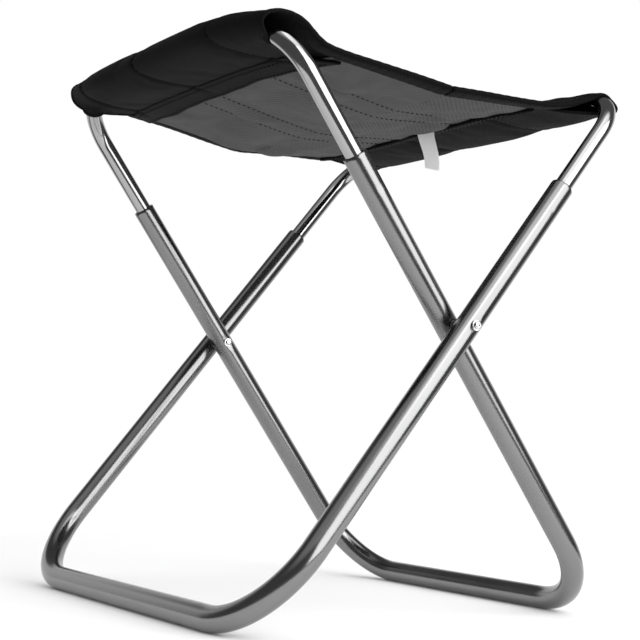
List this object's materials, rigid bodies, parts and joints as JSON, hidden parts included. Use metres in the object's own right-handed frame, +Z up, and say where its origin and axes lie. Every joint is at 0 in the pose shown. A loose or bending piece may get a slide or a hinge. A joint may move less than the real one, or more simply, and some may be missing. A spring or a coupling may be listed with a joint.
{
  "type": "camp stool",
  "caption": "Folding camp stool: two crossed U-shaped tube frames riveted at a pivot, with a fabric seat slung between the top bars.",
  "frame": {"origin": "on the floor under the middle of the stool", "axes": "+X along the pivot axis, +Y from the outer frame's base bar towards its seat bar, +Z up"},
  "size_m": [0.2658, 0.2252, 0.283],
  "materials": {
    "base_tube_metal": "gunmetal anodised, satin with a fine lengthwise grain",
    "seat_tube_metal": "gunmetal anodised, polished",
    "rivet_metal": "bright plated",
    "spacer_plastic": "matt black",
    "cover_fabric": "black woven polyester",
    "lining_fabric": "grey woven polyester",
    "binding_fabric": "black ribbed binding tape",
    "label_fabric": "pale satin ribbon, blank"
  },
  "bodies": {
    "outer_frame": {"outer_base_tube": "base_tube_metal", "outer_seat_tube": "seat_tube_metal", "pivot_rivet_right": "rivet_metal", "head_washer_right": "rivet_metal", "tail_washer_right": "rivet_metal", "pivot_spacer_right": "spacer_plastic", "pivot_rivet_left": "rivet_metal", "head_washer_left": "rivet_metal", "tail_washer_left": "rivet_metal", "pivot_spacer_left": "spacer_plastic"},
    "inner_frame": {"inner_base_tube": "base_tube_metal", "inner_seat_tube": "seat_tube_metal"},
    "seat_half_outer": {"outer_cover": "cover_fabric", "outer_lining": "lining_fabric", "outer_pocket_flap": "cover_fabric", "outer_hem_band": "binding_fabric", "outer_binding_right": "binding_fabric", "outer_binding_left": "binding_fabric", "care_label": "label_fabric"},
    "seat_half_inner": {"inner_cover": "cover_fabric", "inner_lining": "lining_fabric", "inner_pocket_flap": "cover_fabric", "inner_hem_band": "binding_fabric", "inner_binding_right": "binding_fabric", "inner_binding_left": "binding_fabric"}
  },
  "joints": [
    {"name": "fold", "type": "hinge", "parent": "outer_frame", "child": "inner_frame", "pos_m": [0, 0, 0.142], "axis": [-1, 0, 0], "range_deg": [0, 69.5], "deforming": ["outer_cover", "outer_lining", "outer_pocket_flap", "outer_hem_band", "outer_binding_right", "outer_binding_left", "inner_cover", "inner_lining", "inner_pocket_flap", "inner_hem_band", "inner_binding_right", "inner_binding_left", "care_label"]},
    {"name": "outer_sleeve_turn", "type": "hinge", "parent": "outer_frame", "child": "seat_half_outer", "pos_m": [0, 0.10428, 0.27499], "axis": [1, 0, 0], "range_deg": [0, 43.6]},
    {"name": "inner_sleeve_turn", "type": "hinge", "parent": "inner_frame", "child": "seat_half_inner", "pos_m": [0, -0.10428, 0.27499], "axis": [-1, 0, 0], "range_deg": [0, 43.6]}
  ],
  "couplings": [
    {"joint": "outer_sleeve_turn", "follows": "fold", "ratio": 0.6259},
    {"joint": "inner_sleeve_turn", "follows": "fold", "ratio": 0.6259}
  ]
}
